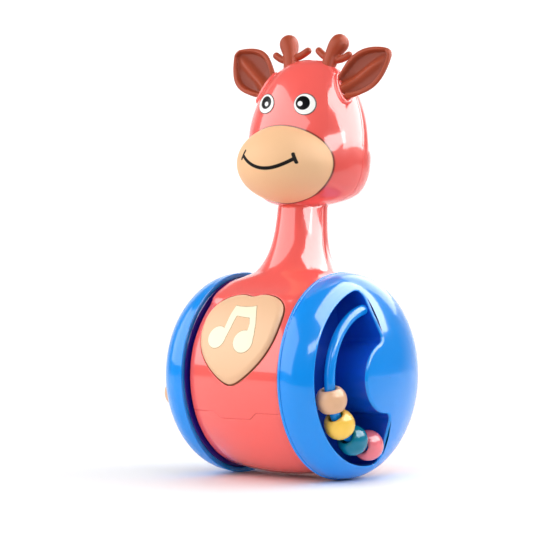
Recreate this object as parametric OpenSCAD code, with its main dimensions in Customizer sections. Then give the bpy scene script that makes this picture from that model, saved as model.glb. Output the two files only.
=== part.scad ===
// Roly poly deer: a weighted body hung on the axle of two bead wheels.
// Millimetres, +Z up, the deer faces -Y, the axle lies along X and the origin is on the floor below it.

/* [Wheels] */
// outer radius of a wheel
wheel_r = 45.5; // [42:0.5:52]
// thickness of a wheel along the axle
wheel_t = 26.5; // [24:0.5:32]
// width of the tread before the dome starts
tread_w = 3; // [2:0.5:5]
// gap between the inner faces of the wheels
track_gap = 52.8; // [48:0.2:62]
// wall of the domes and trays
wheel_wall = 1.8; // [1.4:0.1:2.4]
// width of the grip ring on a wheel's inner edge
ring_w = 1.4; // [1:0.1:2]
// how far the grip ring stands out of the tread
ring_proud = 0.4; // [0.3:0.05:0.6]

/* [Bead windows] */
// rim that stays outside the window
window_rim = 7; // [6:0.5:9]
// radius of the hub inside the window
window_hub = 15.5; // [12:0.5:17]
// upper end of the window, degrees above the front
window_up = 80; // [72:1:88]
// lower end of the window, degrees below the front
window_down = 99.5; // [96:0.5:108]
// rounding of the window's corners
window_round = 3.5; // [2:0.5:5]

/* [Beads] */
// diameter of the rod
rod_d = 4.7; // [3.6:0.1:5.2]
// rod's distance in from the tread
rod_inset = 15.9; // [15:0.1:17]
// rod's depth below the dome
rod_depth = 4.85; // [4.4:0.05:6]
// diameter of a bead
bead_d = 13.4; // [11:0.2:14]
// length of a bead along the rod
bead_len = 10; // [8:0.1:10.2]
// hole in a bead
bead_hole = 6.6; // [6.4:0.1:7.4]
// gap between beads that lie together
bead_gap = 0.46; // [0.35:0.01:0.8]

/* [Barrel] */
// gap between barrel and floor
ground_gap = 1.1; // [0.8:0.1:4]
// gap between barrel and wheel
side_gap = 0.8; // [0.6:0.1:2]
// how much smaller the barrel's ends are than its middle
barrel_crown = 2.6; // [1:0.1:4]
// wall of the shells
shell_wall = 2; // [1.6:0.1:2.6]
// base seam's distance below the axle
seam_drop = 15; // [13:0.5:18]
// half width of the seam's tongue
tongue_w = 12.4; // [9:0.2:16]
// depth of the seam's tongue
tongue_d = 2.8; // [1.5:0.1:4]

/* [Neck and head] */
// radius of the neck
neck_r = 11; // [9:0.5:13]
// how far the neck flares at the shoulders
neck_flare = 16; // [12:0.5:20]
// head's centre above the barrel's top
head_rise = 56.6; // [52:0.2:66]
// head's axis behind the axle
head_back = 12.5; // [8:0.5:16]
// width of the head
head_w = 59.8; // [54:0.2:66]
// depth of the head
head_d = 47.8; // [44:0.2:56]
// crown above the head's widest level
head_up = 40.6; // [36:0.2:46]
// chin below the head's widest level
head_down = 26; // [23:0.2:30]
// fullness of the jaw, 2 for an ellipse
jaw = 3; // [2.2:0.1:3.2]

/* [Face] */
// half width of the muzzle
muzzle_w = 24; // [22:0.2:26]
// half depth of the muzzle
muzzle_d = 22.8; // [20:0.2:25]
// half height of the muzzle
muzzle_h = 17.7; // [16:0.1:19]
// how far the muzzle stands out of the head
muzzle_out = 13.4; // [10:0.2:15]
// muzzle's centre below the head's widest level
muzzle_drop = 7; // [5:0.1:8]
// diameter of an eye
eye_d = 11; // [9:0.2:12]
// eye's distance from the middle
eye_x = 11; // [9.6:0.2:12.6]
// eye's height above the head's widest level
eye_up = 19.4; // [18.6:0.2:22]
// share of its depth that the forehead loses as it slopes back
brow = 0.19; // [0:0.01:0.25]
// degrees that eyes, ears and antlers lean to the right
lean = 3.5; // [0:0.5:5]

/* [Ears and antlers] */
// length of an ear
ear_len = 29; // [25:0.5:34]
// width of an ear
ear_w = 21.5; // [17:0.5:24]
// height of an antler above the head
antler_h = 14.2; // [12:0.2:18]
// diameter of an antler's tip
antler_tip = 9; // [6:0.2:9.4]

/* [Heart button] */
// width of the heart
heart_w = 41.4; // [36:0.2:42]
// height of the heart
heart_h = 42.6; // [38:0.2:43.2]
// how far the heart stands proud
heart_proud = 1.6; // [0.8:0.1:2.4]
// travel of the heart
heart_travel = 2.5; // [1:0.1:3]
// heart's direction above the front
heart_tilt = 23.5; // [20:0.5:26]

/* [Inside] */
// radius of the axle
axle_r = 2; // [1.6:0.1:2.4]
// top of the counterweight below the axle
weight_drop = 24; // [21:0.5:28]
// length of the counterweight along the axle
weight_len = 36; // [30:0.5:40]
// counterweight's lead in front of the axle, which sets the lean at rest
weight_lead = -0.5; // [-3:0.1:3]

/* [Clearances] */
// parting gap between shells
seam_gap = 0.06; // [0.04:0.01:0.12]
// gap round a piece fixed in a socket
fixed_gap = 0.08; // [0.05:0.01:0.15]
// gap round a sliding piece
slide_gap = 0.35; // [0.3:0.05:0.5]
// running clearance of the wheels on the axle
run_gap = 0.05; // [0.03:0.01:0.08]

/* [Hidden] */
$fn = 64;
barrel_r = wheel_r - ground_gap;
barrel_h = track_gap / 2 - side_gap;
dome_h = wheel_t - tread_w;
dome_r = wheel_r - ring_proud;
ring_flats = 48;
ring_r = wheel_r / cos(180 / ring_flats);
ring_hole = dome_r - wheel_wall;
window_out = wheel_r - window_rim;
rod_arc = wheel_r - rod_inset;
rod_u = tread_w + dome_h * sqrt(1 - pow(rod_arc / dome_r, 2)) - rod_depth;
bead_end = sqrt(pow(bead_d / 2, 2) - pow(bead_len / 2, 2));
bead_pitch = 2 * atan((bead_len + bead_gap) / 2 / (rod_arc - bead_end));
bead_low = bead_pitch / 2 - window_down + 0.3;
head_z = barrel_r + head_rise;
head_a = head_w / 2;
head_b = head_d / 2;
egg = 2.2;
neck_z0 = barrel_r - 10.4;
neck_end = head_z - head_down + 7;
join_z = barrel_r - 8;
eye_z = head_z + eye_up;
eye_az = 17;
eye_el = 24;
lean_z = head_z + 11;
bush_r = 5;
antler_root = 3;
hub_r = 6.5;
hook_gap = 0.6;
hub_len = wheel_t - 6.5;
clip_t = 1.2;
axle_len = track_gap + 2 * (hub_len + clip_t + 0.4);
weight_r = barrel_r - shell_wall - barrel_crown * pow(weight_len / 2 / barrel_h, 2) - 1;
weight_w = 56;
bracket_n = 15;
bracket_w = 17;
bracket_t = 2;
bellows_r = 7;
bellows_fold = 3;
bellows_wall = 1.4;
reed_r = 3.4;
reed_len = 9;
button_pad = 4;
flange_x = 0.82 * (barrel_h - shell_wall);
button_n = barrel_r - shell_wall - slide_gap - button_pad - 1.05;
balance_h = 3.8;
balance_in = 20;
base_x = barrel_h - shell_wall - 2.3;
post_z = 12;
base_y = 0.745 * barrel_r;

coral = "#fb6c6a";
cream = "#f3cda0";
brown = "#8f4534";
blue = "#0a84f0";
navy = "#10148a";
steel = "#b8bcc2";

// points of a wheel's face, degrees above the front
function face_pt(r, a) = [-r * sin(a), -r * cos(a)];
function bend(p, q, s, t) = p * (1 - t) * (1 - t) + q * 2 * t * (1 - t) + s * t * t;
function corner(r, a, r2, a2, r3, a3) =
  [for (i = [0 : 4]) bend(face_pt(r, a), face_pt(r2, a2), face_pt(r3, a3), i / 4)];
// ring sector with rounded corners, grown by g all round
function sector(g) =
  let (r0 = window_hub - g, r1 = window_out + g, c = window_round,
       e0 = g / window_hub * 30, a0 = -window_down - e0, a1 = window_up + e0,
       d0 = c / r0 * 57.3, d1 = c / r1 * 57.3)
  concat([for (i = [0 : 32]) face_pt(r1, a0 + d1 + (a1 - a0 - 2 * d1) * i / 32)],
         corner(r1, a1 - d1, r1, a1, r1 - c, a1),
         corner(r0 + c, a1, r0, a1, r0, a1 - d0),
         [for (i = [0 : 24]) face_pt(r0, a1 - d0 - (a1 - a0 - 2 * d0) * i / 24)],
         corner(r0, a0 + d0, r0, a0, r0 + c, a0),
         corner(r1 - c, a0, r1, a0, r1, a0 + d1));
// rib behind the axle that balances the window and beads
function balance() = let (a = -window_down - 4.5, r1 = ring_hole - 1.3, r0 = r1 - balance_in)
  concat([for (i = [0 : 12]) face_pt(r1, a - 80 * i / 12)],
         [for (i = [12 : -1 : 0]) face_pt(r0, a - 80 * i / 12)]);
// half section of the dome, shrunk by g
function dome(g, n = 28) = concat([[0, ring_w + seam_gap], [dome_r - g, ring_w + seam_gap]],
  [for (i = [0 : n - 1]) [(dome_r - g) * cos(90 * i / n), tread_w + (dome_h - g) * sin(90 * i / n)]],
  [[0, wheel_t - g]]);
// half section of the barrel, shrunk by g
function barrel_at(x, g) = barrel_r - g - barrel_crown * pow(x / barrel_h, 2);
function barrel_pts(g, n = 10) = let (h = barrel_h - g, c = 2)
  concat([[0, -h], [barrel_at(h, g) - c, -h], [barrel_at(h, g) - 0.6, -h + 0.6]],
         [for (i = [0 : n]) let (x = (c - h) + 2 * (h - c) * i / n) [barrel_at(x, g), x]],
         [[barrel_at(h, g) - 0.6, h - 0.6], [barrel_at(h, g) - c, h], [0, h]]);
// neck: centre behind the axle, half width and half depth at height z above the axle
function neck_y(z) = z < neck_z0 ? 0 : 0.8 * head_back * (1 - exp(-(z - neck_z0) / 28));
function neck_a(z) = min(neck_r + neck_flare * exp((barrel_r - 3.8 - z) / 8), barrel_h);
function neck_b(z) = neck_r + 0.34 * neck_flare * exp((barrel_r + 3.4 - z) / 11);
// egg of the head: share of its full width at height z
function egg_s(z) =
  let (t = z > head_z ? (z - head_z) / head_up : (head_z - z) / head_down, n = z > head_z ? egg : jaw)
  t < 1 ? pow(1 - pow(t, n), 1 / n) : 0;
// section of the whole body at height z: half width, half depth, squareness
function deep(z) = sqrt(max(barrel_r * barrel_r - z * z, 1));
function body_a(z) = max(z < head_z - 10 ? neck_a(z) : 0, head_a * egg_s(z));
function body_b(z, side) = z < join_z
  ? deep(z) + (neck_b(join_z) - deep(join_z)) * step((z - join_z + 8) / 8)
  : max(z < head_z - 10 ? neck_b(z) : 0, head_b * egg_s(z) * (side < 0 ? slope_back(z) : 1));
function slope_back(z) = 1 - brow * step((z - head_z - 4) / (0.74 * head_up));
function body_n(z) = 2 + 16 * step((barrel_r + 1.6 - z) / 16);
// point on a unit square's edge, i of m steps along its half from +X round to -X, drawn in to squareness n
function edge_pt(i, m) = let (q = 4 * i / m) q < 1 ? [1, q] : q < 3 ? [2 - q, 1] : [-1, 4 - q];
function round_pt(i, m, n) = let (e = edge_pt(i, m)) e / pow(pow(abs(e.x), n) + pow(abs(e.y), n), 1 / n);
function crown_of(x, z) = let (d = sqrt(max(pow(barrel_at(x, 0), 2) - z * z, 1)))
  1 + (d / deep(z) - 1) * step((barrel_r - 6.4 - z) / 8);
function flat_end(p, z) = max(-1, min(1, (1 + 0.012 * step((barrel_r - 10 - z) / 6)) * p));
function body_pt(i, m, z, g, side) =
  let (p = round_pt(i, m, body_n(z)), x = (body_a(z) - g) * flat_end(p.x, z),
       d = max(body_b(z, side) - g, 0.12) * p.y * crown_of(x, z))
  [x, part_y(z) + side * (d + seam_gap / 2), z];
// heights of the sections, closer where the form bends
body_zs = concat([for (z = [-seam_drop - 6, -seam_drop / 2 - 0.3, 0.4, 8.1, 16.2, 23.3]) z],
  [for (i = [0 : 9]) join_z - 7 + 26 * i / 9],
  [for (i = [1 : 3]) join_z + 19 + (head_z - head_down - join_z - 20) * i / 3],
  [for (i = [-8 : 14]) let (f = i < 0 ? 76 * i / 9 : 86 * i / 14)
    head_z + sign(f) * (f < 0 ? head_down : head_up) * pow(abs(sin(f)), 2 / (f < 0 ? jaw : egg))]);
function thin_z(z, g) = z > head_z ? head_z + (z - head_z) * (head_up - g) / head_up : z;
// parting line between front and rear shells
function step(t) = let (s = max(0, min(1, t))) s * s * (3 - 2 * s);
function part_y(z) = neck_y(z) + (head_back - neck_y(z)) * step((z - neck_end + 8) / 7);
function super(a, b, n, t) =
  [a * sign(cos(t)) * pow(abs(cos(t)), 2 / n), b * sign(sin(t)) * pow(abs(sin(t)), 2 / n)];
// heart outline, top half a full curve with a notch and lower half drawn in to the tip
function heart_pt(t, g) =
  let (a = heart_w / 2 + g, b = 0.38 * heart_h + g, c = 0.62 * heart_h + g, p = super(a, b, 2.73, 90 - t))
  [0, 0.141 * heart_h] + (cos(t) > 0 ? [p.x, p.y - 1.5 * exp(-p.x * p.x / 16)]
                                     : [a * sin(t) * (1 - 0.36 * pow(abs(cos(t)), 3.4)), c * cos(t)]);
function heart(g, n = 70) = [for (i = [0 : n - 1]) heart_pt(360 * i / n, g)];

module at_axle() { translate([0, 0, wheel_r]) children(); }
// both ends of the axle, local z outwards from x
module both_ends(x) {
  at_axle() for (s = [0, 1]) mirror([s, 0, 0]) translate([x, 0, 0]) along_x() children();
}
module along_x() { rotate([0, 90, 0]) children(); }
module wheel_place() { at_axle() translate([track_gap / 2, 0, 0]) along_x() children(); }
module other_side() { mirror([1, 0, 0]) children(); }
module heart_place() { at_axle() rotate([90 - heart_tilt, 0, 0]) children(); }
module loft(rings) {
  n = len(rings[0]);
  m = len(rings);
  polyhedron(points = [for (r = rings) each r], convexity = 6,
    faces = concat([[for (i = [0 : n - 1]) i]],
      [for (j = [0 : m - 2]) for (i = [0 : n - 1]) each let (k = (i + 1) % n)
        [[j * n + i, (j + 1) * n + i, (j + 1) * n + k], [j * n + i, (j + 1) * n + k, j * n + k]]],
      [[for (i = [n - 1 : -1 : 0]) (m - 1) * n + i]]));
}
module barrel(g, n = 10, f = 72) { along_x() rotate_extrude($fn = f) polygon(barrel_pts(g, n)); }
// closed wall of one half of the body: outer and inner skins, joined at the parting face and the lower edge
module half_shell(side) {
  m = 24;
  k = m + 1;
  r = len(body_zs);
  o = r * k;
  quads = concat(
    [for (j = [0 : r - 2]) for (i = [0 : m - 1]) let (p = j * k + i, q = p + k) [p, q, q + 1, p + 1]],
    [for (j = [0 : r - 2]) for (i = [0 : m - 1]) let (p = o + j * k + i, q = p + k) [p + 1, q + 1, q, p]],
    [for (j = [0 : r - 2]) let (p = j * k, q = p + k)
      each [[p, o + p, o + q, q], [p + m, q + m, o + q + m, o + p + m]]],
    [for (i = [0 : m - 1]) [i, i + 1, o + i + 1, o + i]],
    [[(r - 1) * k, o + (r - 1) * k, o + (r - 1) * k + m, (r - 1) * k + m]]);
  caps = [[for (i = [0 : m]) (r - 1) * k + m - i], [for (i = [0 : m]) o + (r - 1) * k + i]];
  all = concat([for (q = quads) each [[q[0], q[1], q[2]], [q[0], q[2], q[3]]]], caps);
  polyhedron(points = concat([for (z = body_zs) for (i = [0 : m]) body_pt(i, m, z, 0, side)],
    [for (z = body_zs) for (i = [0 : m]) let (p = body_pt(i, m, z, shell_wall, side))
      [p.x, p.y, thin_z(z, shell_wall)]]),
    faces = side > 0 ? all : [for (f = all) [for (i = [len(f) - 1 : -1 : 0]) f[i]]], convexity = 8);
}
// the body's outer form, grown by g, above the shoulders
module head_form(g) {
  m = 24;
  zs = [for (z = body_zs) if (z > head_z - head_down - 8) z];
  loft([for (z = zs) let (h = thin_z(z, -g), s = seam_gap / 2) concat(
    [for (i = [0 : m - 1]) let (p = body_pt(i, m, z, -g, 1)) [p.x, p.y - s, h]],
    [for (i = [m : -1 : 1]) let (p = body_pt(i, m, z, -g, -1)) [p.x, p.y + s, h]])]);
}
// above and below the base seam, which dips in a tongue in the middle
function seam_line(g) = let (e = tongue_w - tongue_d * 1.8, z = g - seam_drop)
  [[-80, z], [-tongue_w, z], [-e, z - tongue_d], [e, z - tongue_d], [tongue_w, z], [80, z]];
module upper_side(g) {
  rotate([90, 0, 0]) linear_extrude(200, center = true)
    polygon(concat(seam_line(g), [[80, 200], [-80, 200]]));
}
module lower_side(g) {
  rotate([90, 0, 0]) linear_extrude(200, center = true)
    polygon(concat(seam_line(-g), [[80, -80], [-80, -80]]));
}
module muzzle_form(g) {
  translate([0, head_back - head_b - muzzle_out + muzzle_d, head_z - muzzle_drop])
    scale([muzzle_w + g, muzzle_d + g, muzzle_h + g]) sphere(1, $fn = 40);
}
// eyes, ears and antlers lean over together about a point in the head
module lean_over() { translate([0, 0, lean_z]) rotate([0, lean, 0]) translate([0, 0, -lean_z]) children(); }
// local z is the eye's outward direction
module eye_place() {
  translate([eye_x, head_back - body_b(eye_z, -1) * sqrt(1 - pow(eye_x / body_a(eye_z), 2)), eye_z])
    rotate([90 - eye_el, 0, eye_az]) children();
}
// local z runs from the ear's root to its tip, local y to its back
module ear_place() {
  translate([head_a * 0.71, head_back - 4, head_z + head_up * 0.66])
    rotate([0, 53, 10]) rotate([0, 0, -18]) children();
}
module antler_place() { translate([10.5, head_back, head_z + head_up * 0.94]) children(); }
module ear_plug(g) {
  ear_place() translate([0, 0, -9])
    scale([ear_root + g, ear_thick + g, 1]) cylinder(r = 1, h = 20, $fn = 24);
}
module axle_seats() { along_x() cylinder(r = bush_r + fixed_gap, h = 200, center = true, $fn = 48); }
// screw places of the two body halves, on the end walls
module at_screws() { for (x = [-1, 1]) translate([x * base_x, 0, post_z]) rotate([90, 0, 0]) children(); }
module posts(side) {
  e = side > 0 ? 9.5 : 0.66 * barrel_r;
  at_screws() translate([0, 0, side > 0 ? seam_gap / 2 : -e])
    cylinder(r = 3.2, h = e - seam_gap / 2, $fn = 14);
}
module base_spots() { for (x = [-1, 1]) translate([x * base_x, base_y, 0]) children(); }
module base_posts() {
  base_spots() translate([0, 0, -seam_drop + seam_gap]) cylinder(r = 3.3, h = 9, $fn = 24);
}
module bracket_rails() {
  t = 1.8;
  n = bracket_n + bracket_t / 2;
  d = (bracket_t + t) / 2 + fixed_gap;
  rotate([90 - heart_tilt, 0, 0]) for (x = [-1, 1]) for (s = [-1, 1])
    translate([x * (barrel_h - shell_wall - 1.2), 0, n + s * d]) cube([4, bracket_w + 1, t], center = true);
}
module front_shell() {
  color(coral) at_axle() resize([0, 0, 0]) intersection() {
    difference() {
      union() {
        half_shell(-1);
        posts(1);
        bracket_rails();
      }
      lean_over() for (s = [0, 1]) mirror([s, 0, 0]) {
        eye_place() translate([0, 0, -6]) cylinder(r = eye_d / 2 + fixed_gap, h = 20, $fn = 34);
        ear_plug(fixed_gap);
      }
      rotate([90 - heart_tilt, 0, 0]) linear_extrude(80) polygon(heart(slide_gap));
      axle_seats();
      at_screws() cylinder(r = 1.25 + fixed_gap, h = 8.6, $fn = 16);
    }
    upper_side(seam_gap / 2);
  }
}
module rear_shell() {
  color(coral) at_axle() resize([0, 0, 0]) intersection() {
    difference() {
      union() {
        half_shell(1);
        posts(-1);
        base_posts();
      }
      axle_seats();
      at_screws() translate([0, 0, -60]) cylinder(r = 1.25 + fixed_gap, h = 61, $fn = 16);
      at_screws() translate([0, 0, -60]) cylinder(r = 2.6 + fixed_gap, h = 57, $fn = 16);
      base_spots() translate([0, 0, -seam_drop - 1]) cylinder(r = 1.25 + fixed_gap, h = 8, $fn = 16);
    }
    upper_side(seam_gap / 2);
  }
}
// hook of the base behind the front shell's edge
module base_hook() {
  intersection() {
    difference() { barrel(shell_wall - 0.6); barrel(shell_wall + hook_gap + 1.6); }
    translate([-6, -60, -seam_drop - tongue_d - 7]) cube([12, 60, 6.4]);
  }
  intersection() {
    difference() { barrel(shell_wall + hook_gap); barrel(shell_wall + hook_gap + 1.6); }
    translate([-6, -60, -seam_drop - tongue_d - 6]) cube([12, 60, 11]);
  }
}
module base_shell() {
  color(coral) at_axle() difference() {
    union() {
      intersection() {
        difference() { barrel(0); barrel(shell_wall); }
        lower_side(seam_gap / 2);
      }
      base_hook();
      intersection() {
        barrel(0.5);
        union() {
          base_spots() translate([0, 0, -60]) cylinder(r = 3.3, h = 60 - seam_drop - seam_gap);
          for (x = [-1, 1]) difference() {
            translate([x * 10, 0, 0]) along_x() cylinder(r = barrel_r, h = 2, center = true);
            translate([x * 10, 0, 0]) along_x() cylinder(r = weight_r + fixed_gap, h = 4, center = true);
            translate([-50, -60, -weight_drop - 4]) cube([100, 120, 100]);
          }
          for (x = [-1, 1]) translate([x * 10, -weight_lead, -60]) cylinder(r = 3.2, h = 60 - barrel_r + 9);
        }
      }
    }
    base_spots() translate([0, 0, -60]) cylinder(r = 1.25 + fixed_gap, h = 60);
    base_spots() translate([0, 0, -60]) cylinder(r = 2.6 + fixed_gap, h = 60 - seam_drop - 3);
    for (x = [-1, 1]) translate([x * 10, -weight_lead, -barrel_r + 3])
      cylinder(r = 1.25 + fixed_gap, h = 40);
  }
}
module muzzle() {
  color(cream) at_axle() resize([0, 0, 0]) difference() {
    muzzle_form(0);
    muzzle_form(-shell_wall);
    head_form(fixed_gap);
    translate([0, 60 + head_back - 6, head_z]) cube([120, 120, 120], center = true);
  }
}
module eye(s) {
  color("white") at_axle() lean_over() mirror([s, 0, 0]) eye_place() intersection() {
    translate([0, 0, -2.8]) cylinder(r = eye_d / 2, h = 6);
    translate([0, 0, -15.2]) sphere(r = 16);
  }
}
module left_eye() { eye(1); }
module right_eye() { eye(0); }
// leaf: half width along the ear, root in the head's socket and dished front
ear_root = 0.3 * ear_w;
ear_thick = 2.6;
function ear_half(t) = ear_w / 2 * (0.62 + 0.38 * sin(min(180 * t, 180))) * pow(1 - pow(t, 3.6), 0.55);
function ear_ring(t, n) =
  let (w = max(ear_half(max(t, 0)), 0.7),
       h = t > 0 ? 1.2 + (ear_thick - 1.2) * (1 - t) : ear_thick,
       d = t > 0 ? 3.2 * min(1, 4 * t) * (1 - t) : 0)
  [for (i = [0 : n - 1]) let (c = cos(360 * i / n), s = sin(360 * i / n))
    [(t > 0 ? w : ear_root) * c, h * s - d * c * c + d * 0.6, 2 + (ear_len - 2) * t]];
module ear(s) {
  ts = [-0.22, 0, 0.06, 0.14, 0.24, 0.36, 0.48, 0.6, 0.7, 0.8, 0.88, 0.95, 0.985];
  color(brown) at_axle() lean_over() mirror([s, 0, 0]) ear_place()
    resize([0, 0, 0]) loft([for (t = ts) ear_ring(t, 24)]);
}
module left_ear() { ear(1); }
module right_ear() { ear(0); }
// tapered bar with round ends between two points
module bar(p, q, r, s) {
  v = q - p;
  translate(p) rotate([0, acos(v.z / norm(v)), atan2(v.y, v.x)])
    cylinder(r1 = r, r2 = s, h = norm(v), $fn = 16);
  translate(q) sphere(r = s, $fn = 16);
}
module antler(s) {
  top = antler_h - antler_tip / 2;
  color(brown) at_axle() resize([0, 0, 0]) difference() {
    lean_over() mirror([s, 0, 0]) antler_place() antler_bars(top);
    head_form(fixed_gap);
  }
}
module antler_bars(top) {
  translate([0, 0, -3]) cylinder(r = antler_root, h = 5, $fn = 16);
  bar([0, 0, 0], [3.2, 2.4, top], antler_root, 0.42 * antler_tip);
  translate([3.8, 2.8, top]) sphere(r = antler_tip / 2, $fn = 20);
  bar([1, 0.6, top * 0.3], [-7.4, 2.6, top * 0.68], 1.8, 1.5);
  bar([2, 1, top * 0.24], [10, 1.8, top * 0.46], 1.8, 1.5);
}
module left_antler() { antler(1); }
module right_antler() { antler(0); }

// layer of the barrel's form between two levels above its skin, as wide as the heart
module heart_skin(out, into) {
  e = heart_w / 2 + 2;
  rotate([heart_tilt - 90, 0, 0]) along_x() rotate_extrude() polygon(concat(
    [for (i = [-6 : 6]) [barrel_at(e * i / 6, -out), e * i / 6]],
    [for (i = [6 : -1 : -6]) [barrel_at(e * i / 6, -into), e * i / 6]]));
}
// beamed note: two round heads, two stems and a beam
module note(g, h) {
  linear_extrude(h) {
    for (p = [[-8.8, -0.9], [6.1, -2.7]]) translate(p) circle(r = 5.4 + g);
    polygon([[-6.2 - g, -1], [-3.3 + g, -1], [-1.2 + g, 9 - g], [5.7 - g, 8.2 - g], [6.7 - g, 5.5],
             [6.5 - g, -2.7], [11.4 + g, -2.7], [10.5 + g, 5.7], [6.9 + g, 15.1 + g], [1.3, 14.4 + g],
             [-4.9 - g, 15.2 + g]]);
  }
}
module heart_button() {
  color(cream) heart_place() difference() {
    union() {
      intersection() {
        linear_extrude(80) polygon(heart(0));
        heart_skin(heart_proud, -5);
      }
      intersection() {
        linear_extrude(80) intersection() {
          polygon(heart(1.2));
          square([2 * flange_x, 90], center = true);
        }
        heart_skin(-shell_wall - slide_gap, -5);
      }
      translate([0, 0, button_n]) cylinder(r = bellows_r + 1, h = button_pad);
    }
    intersection() {
      note(fixed_gap, 80);
      heart_skin(4, heart_proud - 0.8);
    }
  }
}
module note_inlay() {
  color("#fff8e6") heart_place() intersection() {
    note(0, 80);
    heart_skin(heart_proud - 0.03, heart_proud - 0.75);
  }
}
module squeaker_bellows() {
  n = 5;
  z0 = bracket_n + bracket_t + 0.05;
  r = bellows_r;
  w = bellows_wall;
  l = button_n - 0.1 - z0;
  color("#e8e0d0") heart_place() rotate_extrude() polygon(concat(
    [for (i = [0 : 2 * n]) [i % 2 == 0 ? r : r + bellows_fold, z0 + l * i / (2 * n)]],
    [for (i = [2 * n : -1 : 0]) [i % 2 == 0 ? r - w : r + bellows_fold - w, z0 + l * i / (2 * n)]]));
}
module squeaker_reed() {
  color("#f4f4f0") heart_place() translate([0, 0, bracket_n + 2 * bracket_t - reed_len]) difference() {
    union() {
      cylinder(r = reed_r, h = reed_len);
      translate([0, 0, reed_len - bracket_t + 0.1]) cylinder(r = reed_r + 1.6, h = 1.5);
    }
    translate([0, 0, -1]) cylinder(r = reed_r - 1.8, h = reed_len - 1);
    translate([0, 0, reed_len - 3]) cylinder(r = reed_r - 2.6, h = 6);
  }
}
module squeaker_bracket() {
  color("#d9d4c8") heart_place() translate([0, 0, bracket_n]) difference() {
    cube_at([2 * (barrel_h - shell_wall - fixed_gap), bracket_w, bracket_t]);
    translate([0, 0, -1]) cylinder(r = reed_r + fixed_gap, h = bracket_t + 2);
  }
}
module cube_at(s) { translate([-s.x / 2, -s.y / 2, 0]) cube(s); }
module counterweight() {
  color("#4a4c50") at_axle() difference() {
    intersection() {
      along_x() cylinder(r = weight_r, h = weight_len, center = true);
      translate([-50, -weight_w / 2 - weight_lead, -80]) cube([100, weight_w, 80 - weight_drop]);
    }
    for (x = [-1, 1]) translate([x * 10, -weight_lead, -80]) {
      cylinder(r = 1.25 + fixed_gap, h = 80);
      cylinder(r = 3.2 + 0.2, h = 80 - barrel_r + 9.1);
    }
  }
}
// pan head screw, local z up its shank
module screw(l) {
  cylinder(r = 1.25, h = l);
  translate([0, 0, -1.7]) cylinder(r = 2.5, h = 1.7);
}
module counterweight_screws() {
  color(steel) at_axle() for (x = [-1, 1]) translate([x * 10, -weight_lead, -weight_drop + 0.05])
    rotate([180, 0, 0]) screw(barrel_r - weight_drop - 3.5);
}
module shell_screws() {
  color(steel) at_axle() at_screws() translate([0, 0, -3 - 0.05]) screw(10.5);
}
module base_screws() {
  color(steel) at_axle() base_spots() translate([0, 0, -seam_drop - 3 - 0.05]) screw(8.5);
}
module axle() { color(steel) at_axle() along_x() cylinder(r = axle_r, h = axle_len, center = true); }
module axle_bushes() {
  color("#f0ede4") both_ends(barrel_h - shell_wall - 2.5) difference() {
    union() {
      cylinder(r = bush_r, h = shell_wall + 2.5);
      cylinder(r = bush_r + 1.8, h = 2.4);
    }
    translate([0, 0, -1]) cylinder(r = axle_r + 0.02, h = 20);
  }
}
module thrust_washers() {
  color("#f0ede4") both_ends(barrel_h + 0.04) difference() {
    cylinder(r = 6, h = side_gap - 0.36);
    translate([0, 0, -1]) cylinder(r = axle_r + 0.02, h = 5);
  }
}
module axle_clips() {
  color(steel) both_ends(track_gap / 2 + hub_len + 0.32) difference() {
    cylinder(r = 4.4, h = clip_t);
    translate([0, 0, -1]) cylinder(r = axle_r + 0.02, h = 5);
  }
}
module wheel_dome() {
  color(blue) wheel_place() difference() {
    rotate_extrude() polygon(dome(0));
    translate([0, 0, -0.01]) rotate_extrude() polygon(concat([[0, -1], [ring_hole, -1]],
      [for (p = dome(wheel_wall)) if (p.y >= tread_w) p]));
    translate([0, 0, 4]) linear_extrude(60) polygon(sector(0));
  }
}
// ring with fine flats that keep the toy from creeping on a table
module tread_ring() {
  color(blue) wheel_place() difference() {
    linear_extrude(ring_w)
      polygon([for (i = [1 : ring_flats]) face_pt(ring_r, 360 * (i + 0.5) / ring_flats)]);
    translate([0, 0, -1]) cylinder(r = ring_hole, h = ring_w + 2, $fn = 180);
  }
}
module left_tread_ring() { other_side() tread_ring(); }
module right_tread_ring() { tread_ring(); }
module left_wheel_dome() { other_side() wheel_dome(); }
module right_wheel_dome() { wheel_dome(); }
module wheel_tray() {
  color(navy) wheel_place() difference() {
    union() {
      cylinder(r = ring_hole - fixed_gap, h = wheel_wall);
      intersection() {
        rotate_extrude() polygon(dome(wheel_wall + fixed_gap));
        difference() {
          linear_extrude(60) polygon(sector(wheel_wall));
          translate([0, 0, -1]) linear_extrude(62) polygon(sector(0));
        }
      }
      cylinder(r = hub_r, h = hub_len);
      linear_extrude(wheel_wall + balance_h) polygon(balance());
    }
    translate([0, 0, -1]) cylinder(r = axle_r + run_gap, h = 60);
    rod_form(fixed_gap);
  }
}
module left_wheel_tray() { other_side() wheel_tray(); }
module right_wheel_tray() { wheel_tray(); }
// rod with its ends in the pocket's end walls
module rod_form(g) {
  e = 2.2;
  translate([0, 0, rod_u]) rotate([0, 0, -90 - window_up - e])
    rotate_extrude(angle = window_up + window_down + 2 * e)
      translate([rod_arc, 0]) circle(r = rod_d / 2 + g);
}
module bead_rod() { color(blue) wheel_place() rod_form(0); }
module left_bead_rod() { other_side() bead_rod(); }
module right_bead_rod() { bead_rod(); }
module bead(k, c) {
  color(c) wheel_place() rotate([0, 0, -90 - bead_low - k * bead_pitch]) translate([rod_arc, 0, rod_u])
    rotate([90, 0, 0]) difference() {
      intersection() {
        sphere(r = bead_d / 2);
        cylinder(r = bead_d, h = bead_len, center = true);
      }
      cylinder(r = bead_hole / 2, h = 40, center = true);
    }
}
module right_bead_1() { bead(0, "#e55b62"); }
module right_bead_2() { bead(1, "#0f8f9f"); }
module right_bead_3() { bead(2, "#f8cf63"); }
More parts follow.
